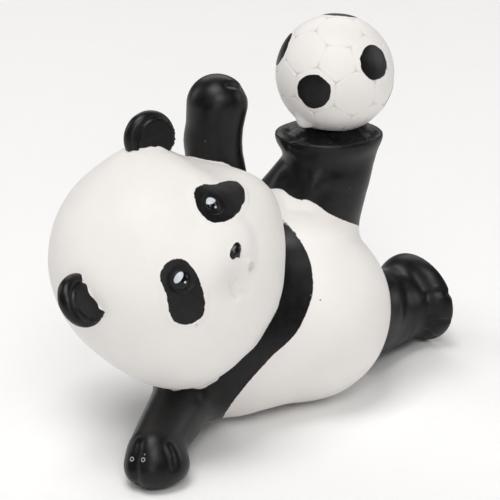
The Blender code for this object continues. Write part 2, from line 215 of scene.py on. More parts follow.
YOKE_EDGE = ((252, 190), (268, 205), (284.3, 218.3), (300, 240), (309, 258), (312.7, 276.7),
             (312, 296.7), (300, 327), (286.7, 343.3), (273.3, 355), (253.3, 376.7),
             (236.7, 396.7), (221.7, 418.3))
WHITE_BESIDE_NECK = ((254, 180), (262, 184), (271, 188), (281, 189), (291, 196), (303, 202),
                     (308, 216), (304, 240), (297, 234), (283.3, 219.6), (275, 212.6), (265, 204.6),
                     (253, 194))
LEG_EDGE = ((257.8, 179.4), (269, 188.5), (279.5, 187.8), (288.6, 194.8), (297, 199),
            (306.8, 199.7), (316.6, 204.6), (329.2, 213.7), (344, 220.5), (358.6, 225.6))
NECK_EDGE_ABOVE = ((188, 155.7), (198, 158), (210.3, 160.7), (223, 162), (233, 167.9),
                   (238.9, 173.6))
NECK_EDGE_BELOW = ((153, 384.5), (165, 385), (174, 391.5), (185, 388.5), (205.5, 388.5),
                   (210, 382.5))

# Where the black of the lower leg begins, along the body
LOWER_LEG_EDGE = 15.5 * MM

# Carving that the photograph shows: lines with their pixels, and spots with their pixel,
# each with its width and its height in millimetres

BODY_LINES = (
    # Right hand: two grooves between soft fingers
    (((139.4, 443), (138, 455), (135.6, 463), (135.8, 473), (137, 485)), 1.9, -0.55),
    (((168.4, 446.5), (171.5, 455), (173.8, 467)), 1.6, -0.6),
    # Raised hand: a thumb groove
    (((229, 84.5), (237, 86), (246.5, 90)), 1.8, -0.55),
    # Lower foot: two toe grooves, shin ridge, ankle valley and trimmed corner
    (((427, 295), (437, 292.5), (444, 291.2), (450, 293)), 1.5, -0.5),
    (((434.5, 321.4), (442, 321.6), (449, 320.6)), 1.5, -0.5),
    (((398, 286), (400, 297), (402, 312)), 5.0, 0.5),
    (((407, 286), (409, 300), (408, 322)), 7.0, -0.7),
    (((427, 331), (434, 337.5)), 1.6, -0.35),
    # Raised foot: a lip of toes and folds under it
    (((284.5, 141), (292, 146), (300, 145)), 2.2, -0.6),
    (((287, 149), (293, 153), (301, 154.5)), 1.6, -0.45),
    (((290, 140), (298, 136)), 1.4, -0.4),
    (((300, 141.8), (306, 140.8), (312, 141.5)), 1.4, 0.35),
    (((290, 152), (296, 156), (303, 157)), 1.2, 0.25),
    # Raised leg: dents beside and below the knee
    (((284, 180), (291, 184), (297, 188)), 5.0, -0.7),
    (((310, 197), (316, 196), (322, 192.5)), 3.0, -0.3),
    # A smudge low on the belly
    (((298, 374), (302, 377), (305, 379)), 1.2, 0.14))
FINGERS = ((130, 461), (153, 460), (181, 458))
BUBBLES = ((286, 207), (292, 209.5), (297, 211), (303, 210), (308, 212), (313, 212.5))
# The raised hand's thumb and the raised leg's knee, after the fingers and the bubbles
BODY_SPOTS = ([(pixel, 7.0, 0.35) for pixel in FINGERS] + [(pixel, 1.3, 0.16) for pixel in BUBBLES]
              + [((239, 101), 7.0, 0.3), ((310.5, 187), 6.0, 0.85)])
# Scratches beside the nose and under the muzzle, and the hollow of the mouth with a pit
HEAD_LINES = (
    (((242, 255), (247.5, 258.5)), 1.0, -0.3),
    (((232.5, 288), (234, 293), (237.5, 299)), 1.0, -0.45),
    (((243, 292), (247.6, 296), (249, 291.5)), 1.0, -0.3))
HEAD_SPOTS = (((232, 279), 8.0, -0.75), ((238, 282), 0.8, -0.25))
# Drips of resin low on the ball
BALL_SPOTS = (((303.5, 121.5), 2.6, 1.2), ((299.5, 117.5), 2.2, 0.7), ((309, 124), 2.2, 0.6))

# Soft unevenness: height, size in millimetres and seed
BODY_WAVES = ((0.05, 9.0, 1),)
HEAD_WAVES = ((0.05, 10.0, 2),)
EAR_WAVES = ((0.04, 4.0, 5),)
EAR_EDGE_WAVES = ((0.35, 2.2, 7),)
BALL_WAVES = ((0.03, 5.0, 13),)
LEDGE_WAVES = ((0.2, 5.0, 3),)
SOLE_WAVES = ((0.22, 3.4, 31), (0.14, 1.5, 32))
PATCH_WAVES = ((0.10, 2.6, 21), (0.07, 1.1, 22))
PANEL_WAVES = ((0.8, 4.5, 11), (0.4, 2.0, 12))
SEAM_PAINTED_SHADE_WAVES = ((0.5, 6.0, 14),)

# Raised paint and other relief, in millimetres
LEDGE_WIDTH = 0.45
LEDGE_LIMIT = 2.6
LEDGE_HEIGHT = 0.22
PATCH_HEIGHT = 0.16
NOSE_HEIGHT = 0.85
EYE_GROOVE_RADII = (2.1, 2.25)
EYE_GROOVE_DEPTH = 0.25
EYE_GROOVE_WIDTH = 0.35
DIMPLE_DEPTH = 0.75
DIMPLE_RADIUS = 0.75
DIMPLE_LIP_HEIGHT = 0.15
DIMPLE_LIP_RADIUS = 1.2
DIMPLE_LIP_WIDTH = 0.35
EAR_GROOVE_DEPTH = 0.45
EAR_EDGE_OUT = 0.25
SOLE_HOLLOW = 0.55
# Height of each collar round the ball's foot, and where it begins and ends to fall away
SOLE_COLLARS = ((1.3, 5.0, 8.5), (0.5, 8.5, 10.5))
SEAM_DEPTH = 0.24
SEAM_WIDTH = 0.19
PANEL_HEIGHT = 0.06
PANEL_ANGLE = 17.2

# Painted shade, as a share of the darkest: in grooves and hollows, round the dimple, under the muzzle,
# at a pinhole and in the ball's seams
GROOVE_PAINTED_SHADE = 0.6
DIMPLE_PAINTED_SHADE = 0.7
MUZZLE_PAINTED_SHADOW = ((231, 279), 7.0, 0.3)
PATCH_PINHOLE_PAINTED_SHADE = ((196.5, 325), 0.6, 0.6)
SEAM_PAINTED_SHADE = 0.95
SEAM_PAINTED_SHADE_WIDTH = 0.17

# Paints

WHITE_LIGHT = (0.86, 0.835, 0.815)
WHITE_DARK = (0.845, 0.82, 0.798)
BLACK_DARK = (0.0035, 0.0033, 0.0036)
BLACK_LIGHT = (0.0075, 0.007, 0.0072)
PALE_CHIP = (0.45, 0.44, 0.43)
# Painted shade for the dark core of each pinhole, which the mesh doesn't carve
PINHOLE_PAINTED_SHADE = (0.002, 0.002, 0.002)
SHINE_COLOUR = (0.60, 0.64, 0.71)
# Colour of the painted shade in grooves, hollows and seams
PAINTED_SHADE_COLOUR = (0.30, 0.27, 0.25)
DUST_COLOUR = (0.35, 0.34, 0.33)
FLOOR_DARK = (0.95, 0.95, 0.95)
FLOOR_LIGHT = (0.97, 0.97, 0.97)
FLOOR_SIZE = 3.0
LIGHT_COLOUR = (1.0, 0.99, 0.975)
WORLD_STRENGTH = 0.10
SPECULAR_LEVEL = 0.28
GLOSSY = 0.07
SMOOTHEST_BLACK = 0.30
SMOOTHEST_WHITE = 0.40
FILM_HEIGHT = 0.06 * MM
GRAIN_HEIGHT = 0.012 * MM
CAST_HEIGHT = 0.03 * MM
PIT_DEPTH = 0.05 * MM


def unit(vector):
    vector = np.asarray(vector, dtype=float)
    return vector / np.linalg.norm(vector)


def axes_from(first, second):
    """Three perpendicular unit axes as columns, the first two near those given."""
    first = unit(first)
    second = unit(np.asarray(second) - first * np.dot(first, second))
    return np.stack([first, second, np.cross(first, second)], axis=1)


def place_matrix(centre, axes, scale):
    """Blender matrix for a unit primitive at centre, turned to axes and scaled."""
    matrix = Matrix([list(row) for row in axes * np.asarray(scale)])
    return Matrix.Translation(Vector(centre)) @ matrix.to_4x4()


def add_sphere(bm, matrix, radius=1.0):
    return bmesh.ops.create_uvsphere(bm, u_segments=SPHERE_SEGMENTS,
                                     v_segments=SPHERE_SEGMENTS // 2, radius=radius, matrix=matrix)


class Ellipsoid:
    """Ellipsoid with its own axes, cut off flat beyond an optional plane."""

    def __init__(self, centre, radii, axes=np.eye(3), flat=None):
        self.centre = np.asarray(centre, dtype=float)
        self.radii = np.asarray(radii, dtype=float)
        self.axes = axes
        self.flat = flat

    def distance(self, points):
        local = (points - self.centre) @ self.axes
        near = np.linalg.norm(local / self.radii, axis=1)
        slope = np.linalg.norm(local / self.radii ** 2, axis=1)
        value = near * (near - 1.0) / np.maximum(slope, 1e-6)
        if self.flat is not None:
            point, normal = self.flat
            value = blend_cut(value, (points - point) @ normal, SOLE_EDGE)
        return value

    def add_to(self, bm):
        made = add_sphere(bm, place_matrix(self.centre, self.axes, self.radii))
        if self.flat is not None:
            point, normal = self.flat
            for vert in made["verts"]:
                over = (np.array(vert.co) - point) @ normal
                vert.co -= Vector(normal * max(over, 0.0))


class Limb:
    """Tapered limb with a round end at each of its two points."""

    def __init__(self, start, end, start_radius, end_radius):
        self.start = np.asarray(start, dtype=float)
        self.end = np.asarray(end, dtype=float)
        self.start_radius = start_radius
        self.end_radius = end_radius

    def distance(self, points):
        along = self.end - self.start
        share = np.clip((points - self.start) @ along / (along @ along), 0.0, 1.0)
        radius = self.start_radius + (self.end_radius - self.start_radius) * share
        nearest = self.start + share[:, None] * along
        return np.linalg.norm(points - nearest, axis=1) - radius

    def add_to(self, bm):
        for centre, radius in ((self.start, self.start_radius), (self.end, self.end_radius)):
            add_sphere(bm, Matrix.Translation(Vector(centre)), radius)
        along = Vector(self.end - self.start)
        turn = along.to_track_quat("Z", "Y").to_matrix().to_4x4()
        middle = Matrix.Translation(Vector((self.start + self.end) / 2))
        bmesh.ops.create_cone(bm, cap_ends=True, segments=SPHERE_SEGMENTS,
                              radius1=self.start_radius, radius2=self.end_radius,
                              depth=along.length, matrix=middle @ turn)


class EarPlate:
    """Round plate with a thick rounded rim, facing along its third axis."""

    def __init__(self, centre, axes, shift):
        self.axes = axes
        self.crown_side = np.sign(HEAD_AXES[:, 1] @ axes[:, 1])
        self.centre = centre + axes @ [shift[0], shift[1] * self.crown_side, 0.0]

    def distance(self, points):
        local = (points - self.centre) @ self.axes
        rim = EAR_THICKNESS / 2
        across = np.maximum(np.linalg.norm(local[:, :2], axis=1) - (EAR_RADIUS - rim), 0.0)
        return np.hypot(across, local[:, 2]) - rim

    def beyond_pad(self, local):
        """How far a place in the plate's axes lies beyond the pad's round border."""
        return np.hypot(local[:, 0], local[:, 1] * self.crown_side + EAR_PAD_OFF) - EAR_PAD_RADIUS

    def padded(self, points):
        """Distance to the plate with its flat pad."""
        local = (points - self.centre) @ self.axes
        front = local[:, 2] - EAR_THICKNESS / 2 - EAR_PAD_PROUD
        pad = blend_cut(self.beyond_pad(local), np.maximum(front, -local[:, 2]), EAR_PAD_EDGE)
        return np.minimum(self.distance(points), pad)

    def add_to(self, bm):
        radii = (EAR_RADIUS, EAR_RADIUS, EAR_THICKNESS / 2)
        add_sphere(bm, place_matrix(self.centre, self.axes, radii))


def blend_join(first, second, reach):
    """Union of two distances, rounded where they come within reach of each other."""
    near = np.maximum(reach - np.abs(first - second), 0.0) / reach
    return np.minimum(first, second) - near * near * reach / 4


def blend_cut(first, second, reach):
    """Intersection of two distances with a rounded edge."""
    return -blend_join(-first, -second, reach)


def blended(forms, points):
    """Distance to the union of the forms, each blended into those before it."""
    value = forms[0][0].distance(points)
    for form, reach in forms[1:]:
        value = blend_join(value, form.distance(points), reach)
    return value


HEAD_AXES = axes_from(HEAD_LEFT, HEAD_CROWN)
HEAD_RADII = np.array([HEAD_WIDTH, HEAD_HEIGHT, HEAD_DEPTH]) / 2


def head_direction(turn, rise):
    """Direction from the head's centre: turn goes left from the face, rise goes up."""
    turn, rise = radians(turn), radians(rise)
    local = np.array([np.sin(turn) * np.cos(rise), np.sin(rise), np.cos(turn) * np.cos(rise)])
    return HEAD_AXES @ local


def head_point(turn, rise, share=1.0, out=0.0):
    """Point on the head's ellipsoid in that direction, scaled by share or moved out."""
    direction = head_direction(turn, rise)
    reach = 1.0 / np.linalg.norm((HEAD_AXES.T @ direction) / HEAD_RADII)
    return HEAD_CENTRE + direction * (reach * share + out)


def head_forms():
    forms = [(Ellipsoid(HEAD_CENTRE, HEAD_RADII, HEAD_AXES), NECK_BLEND)]
    for side in (1, -1):
        cheek = HEAD_CENTRE + head_direction(side * CHEEK_TURN_ANGLE, CHEEK_RISE_ANGLE) * CHEEK_OUT
        forms.append((Ellipsoid(cheek, [CHEEK_RADIUS] * 3), CHEEK_BLEND))
    muzzle = head_point(0.0, MUZZLE_RISE_ANGLE, MUZZLE_SEAT_SHARE)
    forms.append((Ellipsoid(muzzle, MUZZLE_RADII, HEAD_AXES), MUZZLE_BLEND))
    return forms


def ear_plates():
    plates = []
    forward = HEAD_AXES[:, 2]
    for side, shift in zip((1, -1), EAR_SHIFTS):
        outward = head_direction(side * EAR_TURN_ANGLE, EAR_RISE_ANGLE)
        facing = unit(forward - outward * (forward @ outward))
        centre = head_point(side * EAR_TURN_ANGLE, EAR_RISE_ANGLE, out=EAR_LIFT)
        plates.append(EarPlate(centre, axes_from(outward, np.cross(facing, outward)), shift))
    return plates


def trunk_forms():
    rump = np.array([*RUMP_PLACE, RUMP_RADIUS - FLANK_FLAT])
    chest = np.array([*CHEST_PLACE, CHEST_RADIUS - FLANK_FLAT / 2])
    return [(Ellipsoid(rump, (RUMP_END, RUMP_RADIUS, RUMP_RADIUS)), BODY_BLEND),
            (Limb(rump, chest, WAIST_RADIUS, CHEST_RADIUS), WAIST_BLEND)]


def hand_centre():
    """Middle of the right palm, past the wrist and resting on the ground."""
    reach = unit((RIGHT_WRIST - RIGHT_SHOULDER) * (1, 1, 0))
    ahead = unit(reach + HAND_SWING_DIRECTION)
    centre = RIGHT_WRIST + ahead * HAND_REACH
    centre[2] = HAND_HEIGHT / 2 - PALM_FLAT
    return centre, axes_from(ahead, UP)


def arm_forms():
    hand, hand_axes = hand_centre()
    radii = np.array([HAND_LENGTH, HAND_HEIGHT, HAND_WIDTH]) / 2
    right_arm = Limb(RIGHT_SHOULDER, RIGHT_WRIST, RIGHT_SHOULDER_RADIUS, RIGHT_WRIST_RADIUS)
    left_arm = Limb(LEFT_SHOULDER, LEFT_WRIST, LEFT_SHOULDER_RADIUS, LEFT_WRIST_RADIUS)
    mitten = Limb(LEFT_WRIST, LEFT_HAND, LEFT_WRIST_RADIUS, LEFT_HAND_RADIUS)
    return [(right_arm, ARMPIT_BLEND), (Ellipsoid(hand, radii, hand_axes), HAND_BLEND),
            (left_arm, SHOULDER_BLEND), (mitten, SHOULDER_BLEND)]


def left_sole():
    """Middle of the raised sole and its axes: toe direction, width, outward normal."""
    turn = radians(LEFT_TOE_TURN_ANGLE)
    toes = np.array([np.cos(turn), np.sin(turn), 0.0])
    return LEFT_SOLE, axes_from(toes, np.cross(UP, toes))


def right_sole():
    """Middle of the lower sole and its axes: toe direction, width, outward normal."""
    middle = np.array([RIGHT_SOLE_REACH, RIGHT_ANKLE[1], RIGHT_FOOT_WIDTH / 2 - FOOT_FLAT])
    return middle, axes_from((0, -1, 0), (0, 0, -1))


def foot_form(sole, length, width):
    middle, axes = sole
    normal = axes[:, 2]
    return Ellipsoid(middle - normal * FOOT_SEAT, (length / 2, width / 2, FOOT_DEPTH), axes,
                     flat=(middle, normal))


def leg_forms():
    middle, axes = left_sole()
    calf = middle - UP * CALF_DROP
    heel = middle - axes[:, 0] * HEEL_BACK - UP * HEEL_DROP
    thigh = np.array([*RIGHT_THIGH, RIGHT_THIGH_RADIUS])
    ankle = np.array([*RIGHT_ANKLE, RIGHT_ANKLE_RADIUS + RIGHT_ANKLE_LIFT])
    return [(Limb(LEFT_THIGH, LEFT_ANKLE, LEFT_THIGH_RADIUS, LEFT_ANKLE_RADIUS), BODY_BLEND),
            (Limb(calf, heel, CALF_RADIUS, HEEL_RADIUS), BODY_BLEND),
            (foot_form(left_sole(), FOOT_LENGTH, FOOT_WIDTH), FOOT_BLEND),
            (Limb(thigh, ankle, RIGHT_THIGH_RADIUS, RIGHT_ANKLE_RADIUS), BODY_BLEND),
            (foot_form(right_sole(), RIGHT_FOOT_LENGTH, RIGHT_FOOT_WIDTH), FOOT_BLEND)]


def ball_centre():
    return left_sole()[0] + np.array([*BALL_OFFSET, BALL_RADIUS - BALL_SINK])


BODY = trunk_forms() + leg_forms() + arm_forms()
HEAD = head_forms()
EAR_PLATES = ear_plates()

CAMERA_BACK = unit(EYE - TARGET)
CAMERA_RIGHT = unit(np.cross(UP, CAMERA_BACK))
CAMERA_UP = np.cross(CAMERA_BACK, CAMERA_RIGHT)
CAMERA_AXES = np.stack([CAMERA_RIGHT, CAMERA_UP, CAMERA_BACK], axis=1)


# From the photograph's pixels to the surface

def slope_of(field, points, probe):
    value = field(points)
    slope = np.stack([field(points + offset) - value for offset in np.eye(3) * probe], axis=1) / probe
    return value, slope


def settled(points, field, voxel):
    """The points moved onto the field's surface, and their outward directions."""
    points = points.copy()
    for _ in range(SETTLE_STEPS):
        value, slope = slope_of(field, points, voxel / 20)
        steep = np.maximum(np.sum(slope * slope, axis=1), 0.25)
        points -= slope * np.clip(value / steep, -voxel, voxel)[:, None]
    slope = slope_of(field, points, voxel / 20)[1]
    return points, slope / np.maximum(np.linalg.norm(slope, axis=1, keepdims=True), 1e-9)


def body_surface(points):
    """Distance to the body's and limbs' plain surface."""
    return blended(BODY, points)


def plain_head(points):
    """Distance to the head's plain forms."""
    return blended(HEAD, points)


def head_surface(points):
    """Distance to the head's surface, with what the photograph shows beyond its plain forms."""
    value = plain_head(points)
    for place, height, width in HEAD_SWELLS:
        value -= height * hump(np.linalg.norm(points - place, axis=1), width)
    return value


def rays_through(pixels):
    """Directions of the camera's rays through these pixels."""
    across, down = (np.atleast_2d(np.asarray(pixels, dtype=float)) - PHOTO_SIZE / 2).T[:, :, None]
    rays = across * CAMERA_RIGHT - down * CAMERA_UP - FOCAL_PIXELS * CAMERA_BACK
    return rays / np.linalg.norm(rays, axis=1, keepdims=True)


def seen(surface, pixels):
    """Points where the camera's rays through these pixels meet the surface.

    A ray that passes just beside the surface gives the nearest point of it.
    """
    rays = rays_through(pixels)
    distance = np.linalg.norm(EYE - TARGET)
    reach = np.full(len(rays), distance - RAY_SPAN)
    closest, least = reach.copy(), np.full(len(rays), np.inf)
    for _ in range(RAY_STEPS):
        value = surface(EYE + rays * reach[:, None])
        closest = np.where(np.abs(value) < least, reach, closest)
        least = np.minimum(least, np.abs(value))
        reach = np.minimum(reach + RAY_SHARE * value, distance + RAY_SPAN)
    return settled(EYE + rays * closest[:, None], surface, 1.0 * MM)[0]


def head_swells():
    """Places where the head stands higher than its plain forms, each with height and width."""
    swells = [(seen(plain_head, pixel)[0], height * MM, width * MM)
              for pixel, height, width in TEMPLES]
    for plate in EAR_PLATES:
        foot = plate.centre + plate.axes @ [-EAR_LIFT, EAR_COLLAR_OFF * plate.crown_side, 0.0]
        swells.append((foot, EAR_COLLAR, EAR_COLLAR_WIDTH))
    return swells


HEAD_SWELLS = head_swells()


def pixels_of(points):
    """Pixels of the photograph in which these points show."""
    offset = points - EYE
    depth = -(offset @ CAMERA_BACK)
    return np.stack([offset @ CAMERA_RIGHT, -(offset @ CAMERA_UP)], axis=1) \
        * FOCAL_PIXELS / depth[:, None] + PHOTO_SIZE / 2


def curve_through(places, closed, steps=6):
    """Smooth curve through the places, as Catmull-Rom."""
    places = np.asarray(places, dtype=float)
    count = len(places)
    spans = count if closed else count - 1
    result = []
    for span in range(spans):
        picks = [(span + step) % count if closed else min(max(span + step, 0), count - 1)
                 for step in (-1, 0, 1, 2)]
        a, b, c, d = places[picks]
        for t in np.arange(steps) / steps:
            result.append(b + t * (c - a) / 2 + t * t * (a - 2.5 * b + 2 * c - d / 2)
                          + t ** 3 * (1.5 * b - a / 2 - 1.5 * c + d / 2))
    if not closed:
        result.append(places[-1])
    return np.array(result)


def pairs_distance(points, pairs):
    """Distance from each point to the nearest straight line between a pair of places."""
    nearest = np.full(len(points), np.inf)
    for start, end in pairs:
        along = end - start
        share = np.clip((points - start) @ along / max(along @ along, 1e-18), 0.0, 1.0)
        offset = points - start - share[:, None] * along
        nearest = np.minimum(nearest, np.linalg.norm(offset, axis=1))
    return nearest


def path_distance(points, path):
    """Distance from each point to the nearest place of a path."""
    return pairs_distance(points, zip(path[:-1], path[1:]))


def outline_depth(flat, outline):
    """How far each flat point lies inside a closed outline; less than zero outside it."""
    closed = np.vstack([outline, outline[:1]])
    inside = np.zeros(len(flat), dtype=bool)
    for (x0, y0), (x1, y1) in zip(closed[:-1], closed[1:]):
        crosses = (y0 > flat[:, 1]) != (y1 > flat[:, 1])
        inside ^= crosses & (flat[:, 0] < x0 + (flat[:, 1] - y0) * (x1 - x0) / (y1 - y0 + 1e-18))
    return np.where(inside, 1.0, -1.0) * path_distance(flat, closed)


class Region:
    """Closed outline drawn on a surface as the photograph shows it."""

    def __init__(self, surface, pixels):
        self.points = seen(surface, curve_through(pixels, closed=True))
        self.centre = self.points.mean(axis=0)
        across = self.points - self.centre
        self.axes = np.linalg.svd(across, full_matrices=False)[2].T
        self.outline = (across @ self.axes)[:, :2]
        self.reach = np.linalg.norm(across, axis=1).max() + 4.0 * MM

    def depth(self, points):
        """Millimetres inside the outline, for points near it on the surface."""
        near = np.linalg.norm(points - self.centre, axis=1) < self.reach
        depth = np.full(len(points), -self.reach / MM)
        flat = ((points[near] - self.centre) @ self.axes)[:, :2]
        depth[near] = outline_depth(flat, self.outline) / MM
        return depth


def smooth(value, low, high):
    """From 0 at low to 1 at high, without corners."""
    share = np.clip((value - low) / (high - low), 0.0, 1.0)
    return share * share * (3.0 - 2.0 * share)


def hump(distance, width):
    """1 on a line or point and down to almost 0 at width from it."""
    return np.exp(-(2.0 * distance / width) ** 2)


def ring(away, radius, width):
    """1 on a circle of that radius and down to almost 0 at twice the width from it."""
    return np.exp(-((away - radius) / width) ** 2)


def line_on(surface, points, pixels, width):
    """Hump along a line that the photograph shows on the surface."""
    path = seen(surface, curve_through(pixels, closed=False))
    return hump(path_distance(points, path), width)


def away_from(surface, points, pixel):
    """Distance to the place on the surface that shows in this pixel."""
    return np.linalg.norm(points - seen(surface, pixel)[0], axis=1)


def spot_on(surface, points, pixel, width):
    """Hump at a place that the photograph shows on the surface."""
    return hump(away_from(surface, points, pixel), width)


def ripple(points, size, seed):
    """Soft irregular value from -1 to 1, about size from crest to crest."""
    random = np.random.default_rng(seed)
    value = np.zeros(len(points))
    for _ in range(6):
        wave = unit(random.normal(size=3)) * 2 * np.pi / (size * random.uniform(0.7, 1.4))
        value += np.sin(points @ wave + random.uniform(0, 2 * np.pi))
    return value / 6 * 1.6


def waves(points, kinds):
    """Sum of ripples, each with its height, its size in millimetres and its seed."""
    return sum(height * ripple(points, size * MM, seed) for height, size, seed in kinds)


def carving(surface, points, lines, spots):
    """Height of the lines and spots that the photograph shows on a surface."""
    height = np.zeros(len(points))
    for pixels, width, rise in lines:
        height += rise * line_on(surface, points, pixels, width * MM)
    for pixel, width, rise in spots:
        height += rise * spot_on(surface, points, pixel, width * MM)
    return height


# Meshes

def add_object(name, data):
    obj = bpy.data.objects.new(name, data)
    bpy.context.scene.collection.objects.link(obj)
    return obj


def remeshed(forms, voxel):
    """Corners and faces of one even mesh round the forms' primitives."""
    bm = bmesh.new()
    for form, _ in forms:
        form.add_to(bm)
    mesh = bpy.data.meshes.new("joined_forms")
    bm.to_mesh(mesh)
    bm.free()
    obj = add_object("joined_forms", mesh)
    remesh = obj.modifiers.new("join", "REMESH")
    remesh.mode = "VOXEL"
    remesh.voxel_size = voxel
    bpy.context.view_layer.update()
    evaluated = obj.evaluated_get(bpy.context.evaluated_depsgraph_get()).to_mesh()
    points = np.empty(len(evaluated.vertices) * 3)
    evaluated.vertices.foreach_get("co", points)
    faces = np.empty(len(evaluated.loops), dtype=np.int32)
    evaluated.loops.foreach_get("vertex_index", faces)
    quads = all(polygon.loop_total == 4 for polygon in evaluated.polygons)
    if not quads:
        raise SystemExit("the remesh made faces that aren't quads")
    obj.evaluated_get(bpy.context.evaluated_depsgraph_get()).to_mesh_clear()
    bpy.data.objects.remove(obj)
    bpy.data.meshes.remove(mesh)
    return points.reshape(-1, 3), faces.reshape(-1, 4)


def cube_sphere(grid):
    """Directions and four-sided faces of a cube projected on the unit sphere."""
    steps = np.tan((np.arange(grid + 1) / grid - 0.5) * np.pi / 2)
    across, up = (values.ravel() for values in np.meshgrid(steps, steps, indexing="ij"))
    ones = np.ones_like(across)
    sides = [np.stack(side, axis=1) for side in (
        (ones, across, up), (-ones, up, across), (up, ones, across),
        (across, -ones, up), (across, up, ones), (up, across, -ones))]
    line = np.arange(grid)
    corner = (line[:, None] * (grid + 1) + line[None, :]).ravel()
    quads = np.stack([corner, corner + grid + 1, corner + grid + 2, corner + 1], axis=1)
    faces = np.vstack([quads + number * len(across) for number in range(6)])
    directions = np.vstack(sides)
    directions /= np.linalg.norm(directions, axis=1, keepdims=True)
    _, first, inverse = np.unique(np.round(directions, 6), axis=0, return_index=True,
                                  return_inverse=True)
    return directions[first], inverse.ravel()[faces]


class Shell:
    """Corners, faces and per-corner paint values of one closed skin."""

    def __init__(self, points, faces, **values):
        self.points = points
        self.faces = faces
        self.values = {name: np.zeros(len(points)) for name in ("black", "gloss", "shine", "painted_shade")}
        self.values["shine"] -= 1.0
        self.values.update(values)


def build_piece(name, shells, material):
    """One object out of shells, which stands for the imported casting."""
    mesh = bpy.data.meshes.new(name)
    points = np.vstack([shell.points for shell in shells]) + SHIFT
    starts = np.cumsum([0] + [len(shell.points) for shell in shells[:-1]])
    faces = np.vstack([shell.faces + start for shell, start in zip(shells, starts)])
    mesh.from_pydata(points.tolist(), [], faces.tolist())
    for key in shells[0].values:
        layer = mesh.attributes.new(key, "FLOAT", "POINT")
        layer.data.foreach_set("value", np.concatenate([shell.values[key] for shell in shells]))
    mesh.materials.append(material)
    mesh.shade_smooth()
    obj = add_object(name, mesh)
    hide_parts("panda_figurine")
    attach(obj, "root")


# The body

def on_mesh(points, pixels):
    """Places where these pixels' rays meet the nearest corners of a finished skin."""
    shown = pixels_of(points)
    depths = np.linalg.norm(points - EYE, axis=1)
    places = []
    for pixel, ray in zip(pixels, rays_through(pixels)):
        beside = np.linalg.norm(shown - pixel, axis=1) < MARK_SEARCH
        places.append(EYE + ray * depths[beside].min() + SHIFT)
    return places


def around(points, centre, axis):
    """Angle of each point about an axis through the centre."""
    axes = axes_from(axis, UP if abs(axis[2]) < 0.9 else (1, 0, 0))
    local = (points - centre) @ axes
    return np.arctan2(local[:, 2], local[:, 1])


def beyond_edge(points, pixels, centre, normal):
    """Millimetres beyond a painted edge that runs round a limb, across its normal.

    The edge passes the places where the photograph shows it, and joins up smoothly
    round the side that the camera doesn't see.
    """
    normal = unit(normal)
    edge = seen(body_surface, curve_through(pixels, closed=False, steps=3))
    angles = around(edge, centre, normal)
    order = np.argsort(angles)
    level = np.interp(around(points, centre, normal), angles[order],
                      ((edge - centre) @ normal)[order], period=2 * np.pi)
    return ((points - centre) @ normal - level) / MM


def black_on_body(points):
    chest = np.array([*CHEST_PLACE, CHEST_RADIUS])
    rump = np.array([*RUMP_PLACE, RUMP_RADIUS])
    yoke = beyond_edge(points, YOKE_EDGE, (chest + rump) / 2, (-0.81, 0.0, 0.59))
    leg = beyond_edge(points, LEG_EDGE, LEFT_THIGH, (0.54, 0.0, 0.84))
    lower_leg = (points[:, 0] - LOWER_LEG_EDGE) / MM
    beside_neck = Region(body_surface, WHITE_BESIDE_NECK).depth(points)
    return np.maximum(np.maximum(np.minimum(yoke, -beside_neck), leg), lower_leg)


def white_ledge(points):
    """Millimetres inside the head's white paint where it runs out over the body."""
    spread = 1.2 * MM
    usual = LEDGE_WIDTH + waves(points, LEDGE_WAVES)
    total = np.full(len(points), 0.02)
    width = usual * total
    for pixels in (NECK_EDGE_ABOVE, NECK_EDGE_BELOW):
        edge = seen(body_surface, curve_through(pixels, closed=False, steps=4))
        reaches = np.clip(head_surface(edge) / MM, 0.0, LEDGE_LIMIT)
        for place, reach in zip(edge, reaches):
            weight = np.exp(-(np.linalg.norm(points - place, axis=1) / spread) ** 2)
            total += weight
            width += weight * reach
    return width / total - head_surface(points) / MM


def body_relief(points):
    """Height of the fine carving on the body and limbs, in millimetres."""
    return waves(points, BODY_WAVES) + carving(body_surface, points, BODY_LINES, BODY_SPOTS)


def raised_sole_relief(points):
    """Hollow of the raised sole inside its rim, with lumps where the ball was joined on."""
    centre, axes = left_sole()
    local = (points - centre) @ axes
    share = np.hypot(local[:, 0] / (FOOT_LENGTH / 2), local[:, 1] / (FOOT_WIDTH / 2))
    on_top = smooth(local[:, 2], -1.2 * MM, -0.2 * MM)
    away = np.linalg.norm((points - ball_centre())[:, :2], axis=1) / MM
    collar = sum(rise * smooth(away, end, start) for rise, start, end in SOLE_COLLARS)
    within, up_to_rim = smooth(share, 0.92, 0.7), smooth(share, 1.0, 0.85)
    return on_top * (within * (collar - SOLE_HOLLOW) + up_to_rim * waves(points, SOLE_WAVES))


def body_shell():
    points, faces = remeshed(BODY, BODY_VOXEL)
    points, outward = settled(points, body_surface, BODY_VOXEL)
    black = black_on_body(points)
    ledge = white_ledge(points)
    black = np.minimum(black, -ledge)
    height = body_relief(points) + raised_sole_relief(points)
    height += LEDGE_HEIGHT * smooth(ledge, -0.15, 0.25)
    # Painted shade in the carved grooves, dents and the sole's hollow, darker where the surface sinks
    # deeper
    painted_shade = GROOVE_PAINTED_SHADE * smooth(-height, 0.12, 0.45)
    points = points + outward * height[:, None] * MM
    points[:, 2] = np.maximum(points[:, 2], 0.0)
    return Shell(points, faces, black=black, painted_shade=painted_shade)


# The head

